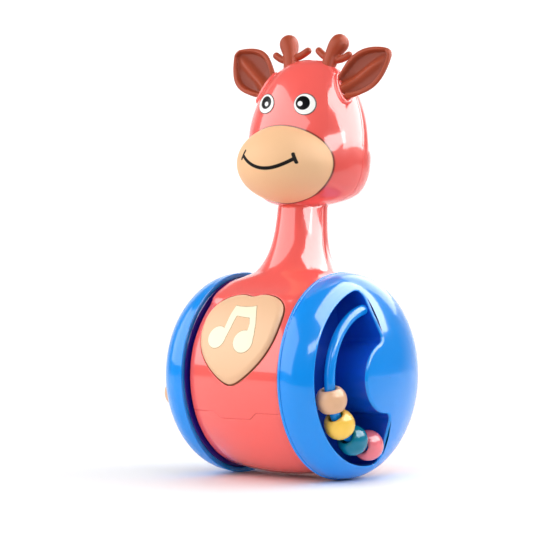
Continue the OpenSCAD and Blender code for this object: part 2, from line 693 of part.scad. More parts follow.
module right_bead_4() { bead(3, "#dcb896"); }
module left_bead_1() { other_side() right_bead_1(); }
module left_bead_2() { other_side() right_bead_2(); }
module left_bead_3() { other_side() right_bead_3(); }
module left_bead_4() { other_side() right_bead_4(); }

front_shell();
rear_shell();
base_shell();
muzzle();
left_eye();
right_eye();
left_ear();
right_ear();
left_antler();
right_antler();
heart_button();
note_inlay();
squeaker_bellows();
squeaker_reed();
squeaker_bracket();
counterweight();
counterweight_screws();
shell_screws();
base_screws();
axle();
axle_bushes();
thrust_washers();
axle_clips();
left_wheel_dome();
right_wheel_dome();
left_tread_ring();
right_tread_ring();
left_wheel_tray();
right_wheel_tray();
left_bead_rod();
right_bead_rod();
left_bead_1();
left_bead_2();
left_bead_3();
left_bead_4();
right_bead_1();
right_bead_2();
right_bead_3();
right_bead_4();
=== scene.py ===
import math

import bpy
import numpy as np
from mathutils import Matrix


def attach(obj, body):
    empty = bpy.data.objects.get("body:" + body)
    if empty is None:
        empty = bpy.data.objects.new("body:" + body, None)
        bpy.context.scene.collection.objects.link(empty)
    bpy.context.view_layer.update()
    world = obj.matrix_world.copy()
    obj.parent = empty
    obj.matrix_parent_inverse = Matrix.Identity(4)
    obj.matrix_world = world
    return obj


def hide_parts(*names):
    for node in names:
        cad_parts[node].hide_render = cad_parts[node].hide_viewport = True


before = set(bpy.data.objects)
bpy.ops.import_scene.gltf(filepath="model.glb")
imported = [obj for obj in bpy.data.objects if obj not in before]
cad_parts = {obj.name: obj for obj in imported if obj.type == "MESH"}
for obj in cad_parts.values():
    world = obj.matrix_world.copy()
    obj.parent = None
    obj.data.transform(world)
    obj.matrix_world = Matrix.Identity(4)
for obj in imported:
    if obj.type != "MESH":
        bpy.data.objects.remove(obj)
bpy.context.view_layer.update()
axleHeight = 45.5  # mm; shapes are worked out in mm about the axle's centre
sides = (("right", 1), ("left", -1))  # as seen in the photo
farAway = 50.0  # mm, where a distance need not be measured


# mm about the axle's centre to metres above the floor
def place(points):
    return (np.asarray(points, float).reshape(-1, 3) + (0, 0, axleHeight)) * 0.001


# eases from 0 to 1: three t squared less two t cubed
def smooth(t):
    t = np.clip(t, 0, 1)
    return t * t * (3 - 2 * t)


# square root that stays real
def root(v, least=0):
    return np.sqrt(np.maximum(v, least))


# fall of a rounded edge at distance d in from its end: quarter circle of radius r
def edgeFall(d, r):
    return r - root(r * r - (r - np.clip(d, 0, r)) ** 2)


# vectors along the last axis brought to length one
def unit(v):
    return v / np.maximum(np.linalg.norm(v, axis=-1, keepdims=True), 1e-12)


# even angles once round
def fullTurn(count):
    return np.linspace(0, 2 * np.pi, count, endpoint=False)


# even angles from one number of degrees to another
def sweep(start, end, count):
    return np.radians(np.linspace(start, end, count))


# cosine and sine of an angle in degrees
def cosSin(angle):
    return math.cos(math.radians(angle)), math.sin(math.radians(angle))


# power of a number's size, with the number's sign
def signPower(v, power):
    return np.sign(v) * np.abs(v) ** power


# quadratic curve from p to s, drawn towards q
def curve(p, q, s, t):
    return p * (1 - t) ** 2 + q * 2 * t * (1 - t) + s * t ** 2


# sRGB hex code to linear colour
def hexColor(code):
    parts = [int(code[i:i + 2], 16) / 255 for i in (1, 3, 5)]
    return [c / 12.92 if c <= 0.04045 else ((c + 0.055) / 1.055) ** 2.4 for c in parts] + [1.0]


# values for a node's sockets
def setInputs(node, values):
    for key, value in values.items():
        node.inputs[key].default_value = value


# a node with its settings, socket values and links
def addNode(tree, kind, inputs=None, links=None, **settings):
    node = tree.nodes.new(kind)
    for key, value in settings.items():
        setattr(node, key, value)
    setInputs(node, inputs or {})
    for key, socket in (links or {}).items():
        tree.links.new(socket, node.inputs[key])
    return node


# four-cornered faces between neighbouring rows and columns; closed joins the last column to the first
def gridFaces(rows, cols, closed=False, flip=False):
    i = np.arange(cols if closed else cols - 1)
    j = np.arange(rows - 1)[:, None]
    k = (i + 1) % cols
    a = np.stack([j * cols + i, j * cols + k, (j + 1) * cols + k, (j + 1) * cols + i], -1).reshape(-1, 4)
    return a[:, ::-1] if flip else a


# smooth-shaded mesh from points in metres
def smoothMesh(name, points, faces, material):
    mesh = bpy.data.meshes.new(name)
    faces = faces.tolist() if isinstance(faces, np.ndarray) else faces
    mesh.from_pydata(points.reshape(-1, 3).tolist(), [], faces)
    mesh.polygons.foreach_set("use_smooth", np.ones(len(mesh.polygons), bool))
    mesh.materials.append(material)
    return mesh


# piece from points in mm, with its attributes and normals, hung on a body in place of its CAD nodes
def addPiece(name, points, faces, look, hang, slot, nodes=(), values=None, normals=None):
    mesh = smoothMesh(name, place(points), faces, looks[look])
    for key, data in (values or {}).items():
        layer = mesh.attributes.new(key, "FLOAT", "POINT")
        layer.data.foreach_set("value", np.asarray(data, np.float32).ravel())
    mesh.update()
    if normals is not None:
        mesh.normals_split_custom_set_from_vertices(unit(normals.reshape(-1, 3)).tolist())
    piece = bpy.data.objects.new(name, mesh)
    bpy.context.scene.collection.objects.link(piece)
    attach(piece, hang)
    if nodes:
        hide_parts(*nodes)
    return piece


# piece whose points are the rows and columns of a grid
def addGrid(name, grid, look, hang, slot, nodes=(), values=None, closed=True, flip=False):
    addPiece(name, grid, gridFaces(*grid.shape[:2], closed, flip), look, hang, slot, nodes, values)


# cross product of the grid's two steps, pointing the way the grid's faces do
def gridNormals(grid):
    return unit(np.cross(np.gradient(grid, axis=1), np.gradient(grid, axis=0)))


# the same, turned to point away from a middle
def outward(grid, middle=(0, 0, 0)):
    normal = gridNormals(grid)
    return normal * np.sign(np.sum(normal * (grid - middle), -1, keepdims=True))


# signed distance from points to a closed outline, positive outside: the nearest place on any stretch,
# and inside where a level line out crosses an odd number of stretches
def outlineDistance(points, outline):
    best = np.full(len(points), np.inf)
    inside = np.zeros(len(points), bool)
    for p, q in zip(outline, np.roll(outline, -1, 0)):
        d = q - p
        t = np.clip(((points - p) @ d) / max(d @ d, 1e-12), 0, 1)
        best = np.minimum(best, np.linalg.norm(points - p - t[:, None] * d, axis=1))
        cross = (p[1] > points[:, 1]) != (q[1] > points[:, 1])
        with np.errstate(divide="ignore", invalid="ignore"):
            x = p[0] + (points[:, 1] - p[1]) * d[0] / d[1]
        inside ^= cross & (points[:, 0] < x)
    return np.where(inside, -best, best)


# outline moved out by g along its own normals, for an outline that runs anticlockwise
def growOutline(outline, g):
    t = unit(np.roll(outline, -1, 0) - np.roll(outline, 1, 0))
    return outline + g * np.stack([t[:, 1], -t[:, 0]], 1)


# keeps the part of a grid where field is positive: points near the line where it is zero move onto it,
# and the other border cells are cut along it
def clipGrid(grid, normals, field, snap=0.3):
    points, f = grid.copy(), field.copy()
    best = np.full(field.shape, snap)
    for axis, step in ((0, 1), (0, -1), (1, 1), (1, -1)):
        other = np.roll(field, -step, axis)
        edge = np.zeros(field.shape, bool)
        np.moveaxis(edge, axis, 0)[-1 if step == 1 else 0] = True
        with np.errstate(divide="ignore", invalid="ignore"):
            t = np.where((field * other < 0) & ~edge, field / (field - other), 1)
        near = t < best
        best = np.where(near, t, best)
        points[near] = (grid + t[..., None] * (np.roll(grid, -step, axis) - grid))[near]
        f[near] = 0
    flat, norm, value = points.reshape(-1, 3), normals.reshape(-1, 3), f.ravel()
    quads = gridFaces(*field.shape)
    v = value[quads]
    whole = quads[(v >= 0).all(1) & (v > 0).any(1)]
    border = quads[(v > 0).any(1) & (v < 0).any(1)]
    after = np.roll(border, -1, 1)
    crossed = value[border] * value[after] < 0
    ends = np.sort(np.stack([border[crossed], after[crossed]], 1), 1)
    ends, number = np.unique(ends, axis=0, return_inverse=True)
    a, b = ends.T
    t = (value[a] / (value[a] - value[b]))[:, None]
    cut = np.full(border.shape, -1)
    cut[crossed] = len(flat) + number.ravel()
    rings = np.stack([np.where(value[border] >= 0, border, -1), cut], 2).reshape(-1, 8)
    faces = whole.tolist() + [q[q >= 0].tolist() for q in rings if (q >= 0).sum() > 2]
    flat = np.vstack([flat, flat[a] + t * (flat[b] - flat[a])])
    norm = np.vstack([norm, norm[a] + t * (norm[b] - norm[a])])
    used, index = np.unique(np.concatenate(faces), return_inverse=True)
    starts = np.cumsum([len(q) for q in faces])[:-1]
    return flat[used], norm[used], [q.tolist() for q in np.split(index, starts)]


# tube round a path: a circle of the given radius across each step, ends closed by a point
def tube(path, radius, count=24, across=(0, 0, 1)):
    radius = np.broadcast_to(radius, len(path))
    t = unit(np.gradient(path, axis=0))
    u = unit(np.cross(t, across))
    w = np.cross(t, u)
    a = fullTurn(count)
    turn = np.cos(a)[None, :, None] * u[:, None] + np.sin(a)[None, :, None] * w[:, None]
    rings = path[:, None] + radius[:, None, None] * turn
    points = np.vstack([rings.reshape(-1, 3), path[0], path[-1]])
    i = np.arange(count)
    k = (i + 1) % count
    end = count * len(path)
    first = np.stack([0 * i + end, k, i], 1)
    final = np.stack([0 * i + end + 1, end - count + i, end - count + k], 1)
    return points, gridFaces(len(path), count, True).tolist() + first.tolist() + final.tolist()


print("stage: materials")
gloss = dict(ior=1.52, coatIor=1.6, coatRough=0.03,
             waveSize=25.0, waveDepth=1.0, wave=0.03)  # mm, mm, share
colorA, colorB, colorOut = 6, 7, 2  # the mix node's colour sockets


# glossy moulded plastic: base colour, a clear sheen and a faint waviness that bends the softbox edges
def plastic(name, color, rough=0.2, coat=0.6, shine=0.22):
    material = bpy.data.materials.new(name)
    material.use_nodes = True
    tree = material.node_tree
    shader = tree.nodes["Principled BSDF"]
    setInputs(shader, {"Base Color": hexColor(color), "Roughness": rough, "IOR": gloss["ior"],
                       "Specular IOR Level": shine, "Coat Weight": coat,
                       "Coat Roughness": gloss["coatRough"], "Coat IOR": gloss["coatIor"]})
    spot = addNode(tree, "ShaderNodeTexCoord")
    noise = addNode(tree, "ShaderNodeTexNoise", {"Scale": 1000 / gloss["waveSize"], "Detail": 1.0},
                    {"Vector": spot.outputs["Object"]})
    depth = {"Strength": gloss["wave"], "Distance": gloss["waveDepth"] / 1000}
    bump = addNode(tree, "ShaderNodeBump", depth, {"Height": noise.outputs["Fac"]})
    for key in ("Normal", "Coat Normal"):
        tree.links.new(bump.outputs["Normal"], shader.inputs[key])
    return material


# paint over a plastic: each (attribute, level, softness, colour) covers where the attribute is
# below the level
def paint(material, coats):
    tree = material.node_tree
    shader = tree.nodes["Principled BSDF"]
    last = None
    for attribute, level, soft, color in coats:
        source = addNode(tree, "ShaderNodeAttribute", attribute_name=attribute)
        share = addNode(tree, "ShaderNodeMapRange", {"From Min": level + soft, "From Max": level - soft},
                        {"Value": source.outputs["Fac"]})
        mix = addNode(tree, "ShaderNodeMix", {colorB: hexColor(color)}, {"Factor": share.outputs["Result"]},
                      data_type="RGBA")
        if last is None:
            mix.inputs[colorA].default_value = list(shader.inputs["Base Color"].default_value)
        else:
            tree.links.new(last, mix.inputs[colorA])
        last = mix.outputs[colorOut]
    tree.links.new(last, shader.inputs["Base Color"])


# colour, roughness, clear coat and shine of each plastic
looks = {
    "coral": plastic("coral moulded ABS", "#fb615a", 0.2, 0.75, 0.3),  # polished: sharp window patches
    "coralFront": plastic("coral moulded ABS, front", "#fb615a", 0.2, 0.75, 0.3),  # the same, with a band of painted shade along the muzzle's edge
    "blue": plastic("blue moulded ABS", "#0590f0", 0.2, 0.45, 0.18),  # glossy, patches a little calmer
    "pocket": plastic("blue moulded ABS in painted shade", "#0648bc", 0.3, 0.2),  # inside walls: the same blue, darkened as painted shade for the recess
    "navy": plastic("navy moulded ABS", "#101488"),  # dark back that mirrors the barrel
    "muzzle": plastic("cream moulded ABS, muzzle", "#f2c294", 0.5, 0.0, 0.12),  # satin: soft light only
    "heart": plastic("cream moulded ABS, button", "#edc098", 0.4, 0.0, 0.25),  # satin with a light edge
    "note": plastic("ivory moulded ABS", "#fdf1d2", 0.4, 0.0),  # pale satin
    "eye": plastic("white moulded ABS", "#fbfbf8", 0.25, 0.05, 0.12),  # clean white with printed pupils
    "brown": plastic("brown soft TPE", "#a6472c", 0.36, 0.0, 0.16),  # rubbery: wide, dull highlights
    "beadCoral": plastic("coral bead ABS", "#f77f88", 0.2, 0.4),  # beads: small bright points
    "beadTeal": plastic("teal bead ABS", "#047a98", 0.2, 0.25),
    "beadYellow": plastic("yellow bead ABS", "#fccc55", 0.25, 0.3),
    "beadBeige": plastic("beige bead ABS", "#e2b28c", 0.3, 0.2),
}

print("stage: body")
body = dict(radius=44.4, half=25.6, crown=2.6, fillet=2.2, endWall=24.0,  # barrel
            seamDrop=15.0, seamGap=0.03, roll=0.32, turnIn=1.4,  # seams: rounded, then a short wall inwards
            tongueHalf=12.4, tongueDepth=2.8, tongueEase=1.8, tongueFade=11.0,
            neckRadius=11.0, neckDrop=10.4, neckLean=0.8, neckBend=28.0,
            flare=16.0, flareCap=4.0, wideDrop=3.8, wideRun=8.0,  # the neck's foot, across
            deepShare=0.34, deepRise=3.4, deepRun=11.0, joinDrop=8.0, joinRun=8.0,  # and from front to back
            headRise=101.0, headBack=12.5, headHalf=29.9, headDepth=23.9, headUp=40.6, headDown=26.0,
            egg=2.2, jaw=3.0, chin=10.0, brow=0.19, browStart=4.0, browRun=0.74,
            partDrop=1.0, partRun=7.0, lean=3.5, leanRise=112.0,
            square=16.0, squareRise=1.6, squareRun=16.0,  # where barrel, neck and head blend
            flat=0.012, flatDrop=10.0, flatRun=6.0, crownDrop=6.4, crownRun=8.0,
            blendStart=12.0, blendRun=22.0)
joinRise = body["radius"] - body["joinDrop"]
neckStart = body["radius"] - body["neckDrop"]
neckTop = body["headRise"] - body["chin"]
partStart = body["headRise"] - body["headDown"] - body["partDrop"]


# barrel's radius at x: a parabola, fullest in the middle
def barrelAt(x):
    return body["radius"] - body["crown"] * (x / body["half"]) ** 2


# barrel's half depth at height z: a circle
def deep(z):
    return root(body["radius"] ** 2 - z * z, 1)


# middle of the neck: runs back ever more slowly
def neckY(z):
    rise = np.maximum(z - neckStart, 0)
    return body["neckLean"] * body["headBack"] * (1 - np.exp(-rise / body["neckBend"]))


# parting of front and rear: the neck's middle, eased over into the head's
def partY(z):
    return neckY(z) + (body["headBack"] - neckY(z)) * smooth((z - partStart) / body["partRun"])


# share of the head's full width at a height: a superellipse, squarer below than above
def eggShare(z):
    d = z - body["headRise"]
    t = np.abs(d) / np.where(d > 0, body["headUp"], body["headDown"])
    n = np.where(d > 0, body["egg"], body["jaw"])
    return np.maximum(1 - np.minimum(t, 1) ** n, 0) ** (1 / n)


# eyes, ears and antlers lean over to the right together: a turn about a level line through the head
def leanOver(p):
    c, s = cosSin(body["lean"])
    x, z = p[..., 0], p[..., 2] - body["leanRise"]
    return np.stack([x * c + z * s, p[..., 1], body["leanRise"] + z * c - x * s], -1)


# neck's half width: a round bar with an exponential flare at its foot
def neckA(z):
    flare = np.exp(np.minimum((body["radius"] - body["wideDrop"] - z) / body["wideRun"], body["flareCap"]))
    return np.minimum(body["neckRadius"] + body["flare"] * flare, body["half"])


# neck's half depth: the same with a smaller flare
def neckB(z):
    flare = np.exp(np.minimum((body["radius"] + body["deepRise"] - z) / body["deepRun"], body["flareCap"]))
    return body["neckRadius"] + body["deepShare"] * body["flare"] * flare


# half width: the wider of neck and head
def bodyA(z):
    return np.maximum(np.where(z < neckTop, neckA(z), 0), body["headHalf"] * eggShare(z))


# half depth: barrel, then the deeper of neck and head; the forehead slopes back on the front side
def bodyB(z, side):
    low = deep(z) + (neckB(joinRise) - deep(joinRise)) * smooth((z - joinRise) / body["joinRun"] + 1)
    back = smooth((z - body["headRise"] - body["browStart"]) / (body["browRun"] * body["headUp"]))
    head = body["headDepth"] * eggShare(z) * (1 - body["brow"] * back * (side < 0))
    return np.where(z < joinRise, low, np.maximum(np.where(z < neckTop, neckB(z), 0), head))


# depth of the base seam's tongue at x, eased at its ends
def tongue(x):
    run = body["tongueDepth"] * body["tongueEase"]
    return body["tongueDepth"] * smooth((body["tongueHalf"] - np.abs(x)) / run)


# columns of half a section from +X seam to -X seam, as (x, radius, share of the depth): end wall,
# rounded edge, face, and back
def bodyColumns():
    h, f = body["half"], body["fillet"]
    s = np.concatenate([[0], np.geomspace(0.0016, 1, 27)])
    a = sweep(0, 90, 10)[1:]
    wall = np.stack([np.full(len(s), h), np.full(len(s), barrelAt(h) - f), s], 1)
    x = h - f + f * np.cos(a)
    edge = np.stack([x, barrelAt(x) - f + f * np.sin(a), np.ones(len(a))], 1)
    x = np.linspace(h - f, f - h, 112)[1:-1]
    face = np.stack([x, barrelAt(x), np.ones(len(x))], 1)
    back = np.vstack([wall, edge])[::-1] * (-1, 1, 1)
    return np.vstack([wall, edge, face, back])


# heights of the skin's rows, closer where the form turns: at the seam, the flare and the head's ends
def bodyRows():
    seam = np.array([0, 0.04, 0.1, 0.18, 0.28, 0.4, 0.6, 1.0]) - body["seamDrop"]
    f = sweep(-66, 89, 120)
    reach = np.where(f < 0, body["headDown"], body["headUp"])
    full = np.where(f < 0, body["jaw"], body["egg"])
    head = body["headRise"] + reach * signPower(np.sin(f), 2 / full)
    top = body["headRise"] + body["headUp"] - 0.0005
    return np.concatenate([seam, np.linspace(1.8 - body["seamDrop"], 28, 50), np.linspace(28.5, 60, 58),
                           np.linspace(60.6, 74, 22), np.linspace(74.2, head[0] - 0.1, 14), head, [top]])


# the skin blends a turned barrel with rounded edges into rounded sections:
# x = a cos, y = b sin drawn out to squareness n
def bodyGrid(side):
    x0, ring, s = bodyColumns().T
    z0 = bodyRows()[:, None]
    above = z0 + body["seamDrop"]
    z = z0 - tongue(x0) * (1 - smooth(above / body["tongueFade"])) * (s == 1)
    below = body["radius"] - z
    n = 2 + body["square"] * smooth((below + body["squareRise"]) / body["squareRun"])
    ex, ey = x0 / body["half"], ring / body["radius"] * s
    size = (np.abs(ex) ** n + np.abs(ey) ** n) ** (1 / n)
    flat = 1 + body["flat"] * smooth((below - body["flatDrop"]) / body["flatRun"])
    x = bodyA(z) * np.clip(flat * ex / size, -1, 1)
    crown = root(barrelAt(x) ** 2 - z * z, 1) / deep(z) - 1
    crown = 1 + crown * smooth((below - body["crownDrop"]) / body["crownRun"])
    y = bodyB(z, side) * ey / size * crown
    w = smooth((z - body["blendStart"]) / body["blendRun"])
    away = root(ring ** 2 - z * z, 1) * s * (1 - w) + y * w
    grid = np.stack([x0 * (1 - w) + x * w, partY(z) + side * (away + body["seamGap"]), z], -1)
    normal = gridNormals(grid) * side
    for d in (away, above + 0 * away):
        grid = grid - normal * edgeFall(d, body["roll"])[..., None]
    wall = normal * body["turnIn"]
    grid = np.concatenate([grid[:, :1] - wall[:, :1], grid, grid[:, -1:] - wall[:, -1:]], 1)
    wall = np.concatenate([wall[:, :1], wall, wall[:, -1:]], 1)
    grid = np.concatenate([grid[:1] - wall[:1], grid], 0)
    return grid if side > 0 else grid[:, ::-1]


heart = dict(half=20.7, middle=6.0, top=16.2, full=2.73, notch=1.5, notchHalf=4.0, low=26.4, draw=0.36,
             drawPower=3.4, points=480, proud=1.6, tilt=23.5, round=2.6, sink=0.7, centre=1.5, depth=4.6,
             gap=0.35, rim=0.45, wall=5.0, skinOut=20.0, skinReach=30.0, skinNear=6)
tiltCos, tiltSin = cosSin(heart["tilt"])
heartUp = np.array([0, tiltSin, tiltCos])
heartOut = np.array([0, -tiltCos, tiltSin])


# top a full superellipse with a shallow notch, lower part drawn in to the tip; points at even steps
def heartOutline():
    t = fullTurn(4 * heart["points"])
    s, c = np.sin(t), np.cos(t)
    power = 2 / heart["full"]
    x = heart["half"] * signPower(s, power)
    notch = heart["notch"] * np.exp(-(x / heart["notchHalf"]) ** 2)
    top = np.stack([x, heart["middle"] + heart["top"] * np.abs(c) ** power - notch], 1)
    x = heart["half"] * s * (1 - heart["draw"] * np.abs(c) ** heart["drawPower"])
    low = np.stack([x, heart["middle"] + heart["low"] * c], 1)
    p = np.where((c > 0)[:, None], top, low)
    p = np.vstack([p, p[:1]])
    along = np.concatenate([[0], np.cumsum(np.linalg.norm(np.diff(p, axis=0), axis=1))])
    at = np.linspace(0, along[-1], heart["points"], endpoint=False)
    return np.stack([np.interp(at, along, p[:, k]) for k in (0, 1)], 1)[::-1]


# distance from the axle along the heart's direction to the barrel's skin, raised by out
def heartRise(p, out):
    return root((barrelAt(p[..., 0]) + out) ** 2 - p[..., 1] ** 2, 1)


# place in space of a point on the heart's plane, n out along its direction
def heartPoint(p, n):
    return np.stack([p[..., 0], 0 * n, 0 * n], -1) + p[..., 1:2] * heartUp + n[..., None] * heartOut


muzzle = dict(half=24.0, deep=22.8, tall=17.7, y=-2.0, rise=94.0, edge=0.5, proud=0.12, inward=8.0,
              turnIn=0.8, smileX=2.4, smileZ=90.9, smileHalf=12.9, smileDeep=5.0, smileTilt=-5.0, line=0.78,
              tickSpot=(0.1, 0.25), tickHalf=(0.8, -1.8), tickShare=0.85)
muzzleMiddle = np.array([0, muzzle["y"], muzzle["rise"]])
muzzleSize = np.array([muzzle["half"], muzzle["deep"], muzzle["tall"]])


# distance out from the muzzle's ellipsoid: its equation over its slope
def muzzleDistance(p):
    d = p - muzzleMiddle
    k = np.linalg.norm(d / muzzleSize, axis=-1)
    return (k - 1) * k / np.maximum(np.linalg.norm(d / muzzleSize ** 2, axis=-1), 1e-6)


front = bodyGrid(-1)
local = np.stack([front[..., 0], front @ heartUp], -1)
near = (front @ heartOut > heart["skinOut"]) & (np.abs(local[..., 1]) < heart["skinReach"])
field = np.full(front.shape[:2], farAway)
holeEdge = growOutline(heartOutline(), heart["gap"])
field[near] = outlineDistance(local[near], growOutline(holeEdge, heart["rim"]))
points, normals, faces = clipGrid(front, gridNormals(front), field)
# painted shade: a dark band on the head's skin along the muzzle's edge, where the seam lies in shade
paint(looks["coralFront"], [("muzzle", 0.4, 0.25, "#7c3a30")])
addPiece("frontSkin", points, faces, "coralFront", "deer", "coral_abs", ["front_shell"],
         {"muzzle": muzzleDistance(points)}, normals)
skinPoints = front[1:, 1:-1][near[1:, 1:-1]]
skinLocal = np.stack([skinPoints[:, 0], skinPoints @ heartUp], 1)


# height of the skin along the heart's direction: mean of the nearest skin points, weighed by nearness
def skinRise(p):
    d = ((skinLocal[None] - p[:, None]) ** 2).sum(2)
    k = np.argpartition(d, heart["skinNear"], 1)[:, :heart["skinNear"]]
    w = 1 / (np.take_along_axis(d, k, 1) + 1e-4)
    return ((skinPoints @ heartOut)[k] * w).sum(1) / w.sum(1)


# rim of the heart's opening: quarter round, then a wall down into the body
rows = []
for a in sweep(0, 90, 7):
    edge = growOutline(holeEdge, heart["rim"] * (1 - math.sin(a)))
    rows.append(heartPoint(edge, skinRise(edge) - heart["rim"] * (1 - math.cos(a))))
rows = np.array(rows + [heartPoint(holeEdge, skinRise(holeEdge) - heart["wall"])])
addGrid("heartOpeningRim", rows, "coral", "deer", "coral_abs")

wells = dict(radius=2.68, rim=0.4, x=21.3, rise=12.0, back=33.08, rearEnd=4.0, baseEnd=-18.0, onEdge=0.03)


# distance from the edge of two round wells, across x and one more axis
def wellDistance(p, axis, spot):
    near = np.hypot(np.abs(p[..., 0]) - wells["x"], p[..., axis] - spot)
    return near - wells["radius"] - wells["rim"]


# screw wells: the skin's cut edge rolls over into a round wall that runs down to the screw's head
def addWells(name, points, axis, spot, end):
    along = 3 - axis
    for word, side in sides:
        edge = np.abs(wellDistance(points, axis, spot)) < wells["onEdge"]
        ring = points[edge & (points[:, 0] * side > 0)]
        across = np.stack([ring[:, 0] - side * wells["x"], ring[:, axis] - spot], 1)
        order = np.argsort(np.arctan2(across[:, 1], across[:, 0]))
        ring, across = ring[order], across[order]
        away = np.linalg.norm(across, axis=1, keepdims=True)
        rows = []
        for k in sweep(0, 90, 6):
            row = ring.copy()
            step = across * (1 - wells["rim"] * math.sin(k) / away)
            row[:, 0], row[:, axis] = side * wells["x"] + step[:, 0], spot + step[:, 1]
            row[:, along] += np.sign(end - ring[0, along]) * wells["rim"] * (1 - math.cos(k))
            rows.append(row)
        row = rows[-1].copy()
        row[:, along] = end
        rows = np.array(rows + [row])
        addGrid(name + word.title(), rows, "coral", "deer", "coral_abs", flip=axis == 1)


rear = bodyGrid(1)
points, normals, faces = clipGrid(rear, gridNormals(rear), wellDistance(rear, 2, wells["rise"]))
addPiece("rearSkin", points, faces, "coral", "deer", "coral_abs", ["rear_shell"], normals=normals)
addWells("rearScrewWell", points, 2, wells["rise"], wells["rearEnd"])


# turned lower shell: arcs under the body from front seam to rear seam, in rows closest at the seams
def baseGrid():
    x, ring, s = bodyColumns().T
    ring = np.where(s < 1, body["endWall"] + (ring - body["endWall"]) * s, ring)
    low = body["seamDrop"] + tongue(x) * (s == 1) + body["seamGap"]
    start = np.arcsin(np.clip(low / ring, 0, 1))
    t = np.concatenate([[0, 0.0004, 0.001, 0.0018, 0.0028, 0.0045, 0.0075], np.linspace(0.015, 0.5, 60)])
    t = np.concatenate([t, 1 - t[-2::-1]])[:, None]
    a = start + (np.pi - 2 * start) * t
    grid = np.stack([np.broadcast_to(x, a.shape), -ring * np.cos(a), -ring * np.sin(a)], -1)
    normal = outward(grid)
    away = np.minimum(a - start, np.pi - start - a) * ring
    grid = grid - normal * edgeFall(away, body["roll"])[..., None]
    wall = normal * body["turnIn"]
    return np.concatenate([grid[:1] - wall[:1], grid, grid[-1:] - wall[-1:]], 0)


base = baseGrid()
points, normals, faces = clipGrid(base, outward(base), wellDistance(base, 1, wells["back"]))
addPiece("baseSkin", points, faces, "coral", "deer", "coral_abs", ["base_shell"], normals=normals)
addWells("baseScrewWell", points, 1, wells["back"], wells["baseEnd"])

print("stage: heart")


# pillow: the outline drawn in towards its middle, level on the barrel's skin and rounded at the edge
def heartGrid():
    edge = heartOutline()
    middle = np.array([0.0, heart["centre"]])
    shares = [np.linspace(0, 0.72, 36), np.linspace(0.72, 0.985, 28)[1:], np.linspace(0.985, 1, 7)[1:]]
    grid = []
    for share in np.concatenate(shares):
        p = middle + (edge - middle) * share
        down = heart["sink"] * edgeFall(-outlineDistance(p, edge), heart["round"])
        grid.append(heartPoint(p, heartRise(p, heart["proud"]) - down))
    return np.array(grid + [heartPoint(edge, heartRise(edge, heart["proud"]) - heart["depth"])])


grid = heartGrid()
# painted shade: the button's side wall and outer rim darkened, as the gap round it lies in shade
paint(looks["heart"], [("edge", 0.5, 0.25, "#7a4c34")])
addGrid("heartButton", grid, "heart", "heart", "cream_abs", ["heart_button"],
        {"edge": np.linalg.norm(grid - grid[-2:-1], axis=2)}, flip=True)

print("stage: note")
note = dict(across=(-16, 13.5), up=(-10, 17.5), step=0.3, lift=0.12, round=0.35, spread=0.02,
            heads=((-8.8, -0.9, 5.4), (6.1, -2.7, 5.4)),
            bars=((-6.2, 3.0), (-5.7, 9.75), (-4.9, 15.2), (-2.0, 14.6), (1.3, 14.4), (4.2, 14.6),
                  (6.9, 15.1), (9.0, 10.0), (10.5, 5.7), (11.4, 0.5), (11.3, -2.7), (6.5, -2.7),
                  (6.8, 3.9), (6.7, 5.5), (5.7, 8.2), (2.4, 8.5), (-1.2, 9.0), (-2.1, 3.1),
                  (-3.3, -1.2), (-6.2, -1.2)))  # stems and beam as one outline, in the heart's plane


# distance out from the note: the nearest of its bars and its two round heads
def noteDistance(p):
    d = outlineDistance(p, np.array(note["bars"]))
    for cx, cy, r in note["heads"]:
        d = np.minimum(d, np.hypot(p[:, 0] - cx, p[:, 1] - cy) - r)
    return d


# sheet just above the heart's skin that falls off at the note's edge, and the distance in from that edge
def noteGrid():
    x, y = (np.arange(*run, note["step"]) for run in (note["across"], note["up"]))
    p = np.stack(np.meshgrid(x, y), -1)
    inside = -noteDistance(p.reshape(-1, 2)).reshape(p.shape[:2])
    rise = note["lift"] - edgeFall(inside, note["round"])
    return heartPoint(p, heartRise(p, heart["proud"]) + rise), inside


grid, field = noteGrid()
points, normals, faces = clipGrid(grid, gridNormals(grid), field + note["spread"])
paint(looks["note"], [("edge", 0.34, 0.2, "#a5835e")])
edge = -noteDistance(np.stack([points[:, 0], points @ heartUp], 1))
addPiece("noteInlay", points, faces, "note", "heart", "note_abs", ["note_inlay"], {"edge": edge}, normals)

print("stage: face")
eyes = dict(size=5.5, lift=0.35, dome=0.3, flat=0.93,
            edge=((0.95, 0.02), (0.97, 0.06), (0.985, 0.12), (0.995, 0.22), (1.0, 0.35), (1.0, 0.7)),
            right=dict(x=11.1, rise=119.7, wide=0.93, tall=0.92, slant=-0.24,
                       pupil=(-0.75, 0.6, 3.5), shine=(-2.0, 0.3, 1.25)),
            left=dict(x=10.9, rise=121.1, wide=1.04, tall=0.87, slant=0.3,
                      pupil=(-0.2, 0.6, 3.5), shine=(-0.6, -0.2, 1.25)))


# head's front at a place across and up: ellipse section at that height
def headFront(x, z):
    return body["headBack"] - bodyB(z, -1) * root(1 - (x / bodyA(z)) ** 2)


